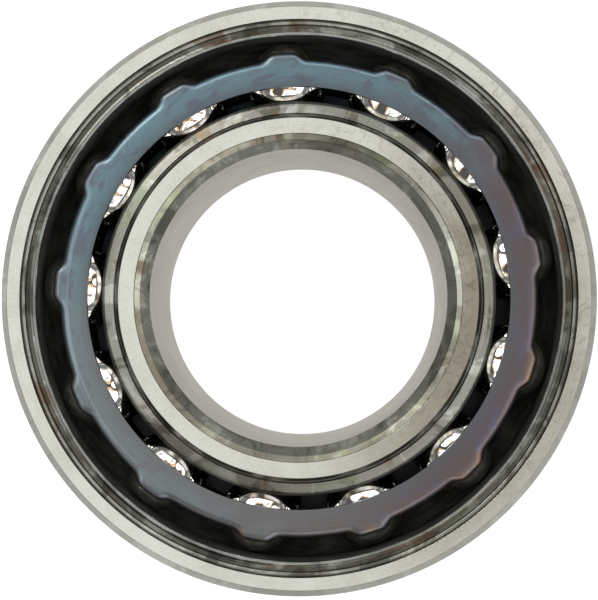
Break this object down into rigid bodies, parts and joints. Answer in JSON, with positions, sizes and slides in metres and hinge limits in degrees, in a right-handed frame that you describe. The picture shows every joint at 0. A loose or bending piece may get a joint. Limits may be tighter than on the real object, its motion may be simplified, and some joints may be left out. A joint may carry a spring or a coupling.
{
  "type": "angular contact bearing",
  "caption": "Wide open angular contact ball bearing in back-to-back layout, with ground steel rings, chrome steel balls and pressed steel crown cages, for radial load and thrust both ways.",
  "frame": {"origin": "on the bearing's axis, midway between the side faces", "axes": "+Z along the bearing's axis towards the front row; +X and +Y are radial"},
  "size_m": [0.08, 0.08, 0.0302],
  "materials": {
    "ring_steel": "fine ground and oiled",
    "cage_steel": "pressed sheet with a blue-grey heat tint",
    "ball_steel": "mirror polished"
  },
  "bodies": {
    "outer_ring": {"outer_ring": "ring_steel"},
    "inner_ring": {"inner_ring": "ring_steel"},
    "front_cage": {"front_cage": "cage_steel"},
    "rear_cage": {"rear_cage": "cage_steel"},
    "front_ball_01": {"front_ball_01": "ball_steel"},
    "front_ball_02": {"front_ball_02": "ball_steel"},
    "front_ball_03": {"front_ball_03": "ball_steel"},
    "front_ball_04": {"front_ball_04": "ball_steel"},
    "front_ball_05": {"front_ball_05": "ball_steel"},
    "front_ball_06": {"front_ball_06": "ball_steel"},
    "front_ball_07": {"front_ball_07": "ball_steel"},
    "front_ball_08": {"front_ball_08": "ball_steel"},
    "front_ball_09": {"front_ball_09": "ball_steel"},
    "front_ball_10": {"front_ball_10": "ball_steel"},
    "front_ball_11": {"front_ball_11": "ball_steel"},
    "front_ball_12": {"front_ball_12": "ball_steel"},
    "front_ball_13": {"front_ball_13": "ball_steel"},
    "rear_ball_01": {"rear_ball_01": "ball_steel"},
    "rear_ball_02": {"rear_ball_02": "ball_steel"},
    "rear_ball_03": {"rear_ball_03": "ball_steel"},
    "rear_ball_04": {"rear_ball_04": "ball_steel"},
    "rear_ball_05": {"rear_ball_05": "ball_steel"},
    "rear_ball_06": {"rear_ball_06": "ball_steel"},
    "rear_ball_07": {"rear_ball_07": "ball_steel"},
    "rear_ball_08": {"rear_ball_08": "ball_steel"},
    "rear_ball_09": {"rear_ball_09": "ball_steel"},
    "rear_ball_10": {"rear_ball_10": "ball_steel"},
    "rear_ball_11": {"rear_ball_11": "ball_steel"},
    "rear_ball_12": {"rear_ball_12": "ball_steel"},
    "rear_ball_13": {"rear_ball_13": "ball_steel"}
  },
  "joints": [
    {"name": "inner_ring_spin", "type": "hinge", "parent": "outer_ring", "child": "inner_ring", "pos_m": [0, 0, 0], "axis": [0, 0, 1], "continuous": true},
    {"name": "front_cage_spin", "type": "hinge", "parent": "outer_ring", "child": "front_cage", "pos_m": [0, 0, 0.0073], "axis": [0, 0, 1], "continuous": true},
    {"name": "rear_cage_spin", "type": "hinge", "parent": "outer_ring", "child": "rear_cage", "pos_m": [0, 0, -0.0073], "axis": [0, 0, 1], "continuous": true},
    {"name": "front_ball_01_roll", "type": "hinge", "parent": "front_cage", "child": "front_ball_01", "pos_m": [0.02959, 0.00554, 0.0073], "axis": [0.4915, 0.092, 0.866], "continuous": true},
    {"name": "front_ball_02_roll", "type": "hinge", "parent": "front_cage", "child": "front_ball_02", "pos_m": [0.02362, 0.01865, 0.0073], "axis": [0.3924, 0.3098, 0.866], "continuous": true},
    {"name": "front_ball_03_roll", "type": "hinge", "parent": "front_cage", "child": "front_ball_03", "pos_m": [0.01225, 0.02749, 0.0073], "axis": [0.2035, 0.4567, 0.866], "continuous": true},
    {"name": "front_ball_04_roll", "type": "hinge", "parent": "front_cage", "child": "front_ball_04", "pos_m": [-0.00193, 0.03004, 0.0073], "axis": [-0.0321, 0.499, 0.866], "continuous": true},
    {"name": "front_ball_05_roll", "type": "hinge", "parent": "front_cage", "child": "front_ball_05", "pos_m": [-0.01567, 0.0257, 0.0073], "axis": [-0.2603, 0.4269, 0.866], "continuous": true},
    {"name": "front_ball_06_roll", "type": "hinge", "parent": "front_cage", "child": "front_ball_06", "pos_m": [-0.02582, 0.01547, 0.0073], "axis": [-0.4289, 0.2571, 0.866], "continuous": true},
    {"name": "front_ball_07_roll", "type": "hinge", "parent": "front_cage", "child": "front_ball_07", "pos_m": [-0.03005, 0.0017, 0.0073], "axis": [-0.4992, 0.0283, 0.866], "continuous": true},
    {"name": "front_ball_08_roll", "type": "hinge", "parent": "front_cage", "child": "front_ball_08", "pos_m": [-0.0274, -0.01246, 0.0073], "axis": [-0.4552, -0.2069, 0.866], "continuous": true},
    {"name": "front_ball_09_roll", "type": "hinge", "parent": "front_cage", "child": "front_ball_09", "pos_m": [-0.01847, -0.02376, 0.0073], "axis": [-0.3069, -0.3947, 0.866], "continuous": true},
    {"name": "front_ball_10_roll", "type": "hinge", "parent": "front_cage", "child": "front_ball_10", "pos_m": [-0.00531, -0.02963, 0.0073], "axis": [-0.0883, -0.4921, 0.866], "continuous": true},
    {"name": "front_ball_11_roll", "type": "hinge", "parent": "front_cage", "child": "front_ball_11", "pos_m": [0.00906, -0.0287, 0.0073], "axis": [0.1505, -0.4768, 0.866], "continuous": true},
    {"name": "front_ball_12_roll", "type": "hinge", "parent": "front_cage", "child": "front_ball_12", "pos_m": [0.02136, -0.0212, 0.0073], "axis": [0.3549, -0.3522, 0.866], "continuous": true},
    {"name": "front_ball_13_roll", "type": "hinge", "parent": "front_cage", "child": "front_ball_13", "pos_m": [0.02877, -0.00885, 0.0073], "axis": [0.4779, -0.147, 0.866], "continuous": true},
    {"name": "rear_ball_01_roll", "type": "hinge", "parent": "rear_cage", "child": "rear_ball_01", "pos_m": [0.02959, 0.00554, -0.0073], "axis": [-0.4915, -0.092, 0.866], "continuous": true},
    {"name": "rear_ball_02_roll", "type": "hinge", "parent": "rear_cage", "child": "rear_ball_02", "pos_m": [0.02362, 0.01865, -0.0073], "axis": [-0.3924, -0.3098, 0.866], "continuous": true},
    {"name": "rear_ball_03_roll", "type": "hinge", "parent": "rear_cage", "child": "rear_ball_03", "pos_m": [0.01225, 0.02749, -0.0073], "axis": [-0.2035, -0.4567, 0.866], "continuous": true},
    {"name": "rear_ball_04_roll", "type": "hinge", "parent": "rear_cage", "child": "rear_ball_04", "pos_m": [-0.00193, 0.03004, -0.0073], "axis": [0.0321, -0.499, 0.866], "continuous": true},
    {"name": "rear_ball_05_roll", "type": "hinge", "parent": "rear_cage", "child": "rear_ball_05", "pos_m": [-0.01567, 0.0257, -0.0073], "axis": [0.2603, -0.4269, 0.866], "continuous": true},
    {"name": "rear_ball_06_roll", "type": "hinge", "parent": "rear_cage", "child": "rear_ball_06", "pos_m": [-0.02582, 0.01547, -0.0073], "axis": [0.4289, -0.2571, 0.866], "continuous": true},
    {"name": "rear_ball_07_roll", "type": "hinge", "parent": "rear_cage", "child": "rear_ball_07", "pos_m": [-0.03005, 0.0017, -0.0073], "axis": [0.4992, -0.0283, 0.866], "continuous": true},
    {"name": "rear_ball_08_roll", "type": "hinge", "parent": "rear_cage", "child": "rear_ball_08", "pos_m": [-0.0274, -0.01246, -0.0073], "axis": [0.4552, 0.2069, 0.866], "continuous": true},
    {"name": "rear_ball_09_roll", "type": "hinge", "parent": "rear_cage", "child": "rear_ball_09", "pos_m": [-0.01847, -0.02376, -0.0073], "axis": [0.3069, 0.3947, 0.866], "continuous": true},
    {"name": "rear_ball_10_roll", "type": "hinge", "parent": "rear_cage", "child": "rear_ball_10", "pos_m": [-0.00531, -0.02963, -0.0073], "axis": [0.0883, 0.4921, 0.866], "continuous": true},
    {"name": "rear_ball_11_roll", "type": "hinge", "parent": "rear_cage", "child": "rear_ball_11", "pos_m": [0.00906, -0.0287, -0.0073], "axis": [-0.1505, 0.4768, 0.866], "continuous": true},
    {"name": "rear_ball_12_roll", "type": "hinge", "parent": "rear_cage", "child": "rear_ball_12", "pos_m": [0.02136, -0.0212, -0.0073], "axis": [-0.3549, 0.3522, 0.866], "continuous": true},
    {"name": "rear_ball_13_roll", "type": "hinge", "parent": "rear_cage", "child": "rear_ball_13", "pos_m": [0.02877, -0.00885, -0.0073], "axis": [-0.4779, 0.147, 0.866], "continuous": true}
  ],
  "couplings": [
    {"joint": "front_cage_spin", "follows": "inner_ring_spin", "ratio": 0.42292},
    {"joint": "rear_cage_spin", "follows": "inner_ring_spin", "ratio": 0.42292},
    {"joint": "front_ball_01_roll", "follows": "inner_ring_spin", "ratio": -2.7421},
    {"joint": "front_ball_02_roll", "follows": "inner_ring_spin", "ratio": -2.7421},
    {"joint": "front_ball_03_roll", "follows": "inner_ring_spin", "ratio": -2.7421},
    {"joint": "front_ball_04_roll", "follows": "inner_ring_spin", "ratio": -2.7421},
    {"joint": "front_ball_05_roll", "follows": "inner_ring_spin", "ratio": -2.7421},
    {"joint": "front_ball_06_roll", "follows": "inner_ring_spin", "ratio": -2.7421},
    {"joint": "front_ball_07_roll", "follows": "inner_ring_spin", "ratio": -2.7421},
    {"joint": "front_ball_08_roll", "follows": "inner_ring_spin", "ratio": -2.7421},
    {"joint": "front_ball_09_roll", "follows": "inner_ring_spin", "ratio": -2.7421},
    {"joint": "front_ball_10_roll", "follows": "inner_ring_spin", "ratio": -2.7421},
    {"joint": "front_ball_11_roll", "follows": "inner_ring_spin", "ratio": -2.7421},
    {"joint": "front_ball_12_roll", "follows": "inner_ring_spin", "ratio": -2.7421},
    {"joint": "front_ball_13_roll", "follows": "inner_ring_spin", "ratio": -2.7421},
    {"joint": "rear_ball_01_roll", "follows": "inner_ring_spin", "ratio": -2.7421},
    {"joint": "rear_ball_02_roll", "follows": "inner_ring_spin", "ratio": -2.7421},
    {"joint": "rear_ball_03_roll", "follows": "inner_ring_spin", "ratio": -2.7421},
    {"joint": "rear_ball_04_roll", "follows": "inner_ring_spin", "ratio": -2.7421},
    {"joint": "rear_ball_05_roll", "follows": "inner_ring_spin", "ratio": -2.7421},
    {"joint": "rear_ball_06_roll", "follows": "inner_ring_spin", "ratio": -2.7421},
    {"joint": "rear_ball_07_roll", "follows": "inner_ring_spin", "ratio": -2.7421},
    {"joint": "rear_ball_08_roll", "follows": "inner_ring_spin", "ratio": -2.7421},
    {"joint": "rear_ball_09_roll", "follows": "inner_ring_spin", "ratio": -2.7421},
    {"joint": "rear_ball_10_roll", "follows": "inner_ring_spin", "ratio": -2.7421},
    {"joint": "rear_ball_11_roll", "follows": "inner_ring_spin", "ratio": -2.7421},
    {"joint": "rear_ball_12_roll", "follows": "inner_ring_spin", "ratio": -2.7421},
    {"joint": "rear_ball_13_roll", "follows": "inner_ring_spin", "ratio": -2.7421}
  ]
}
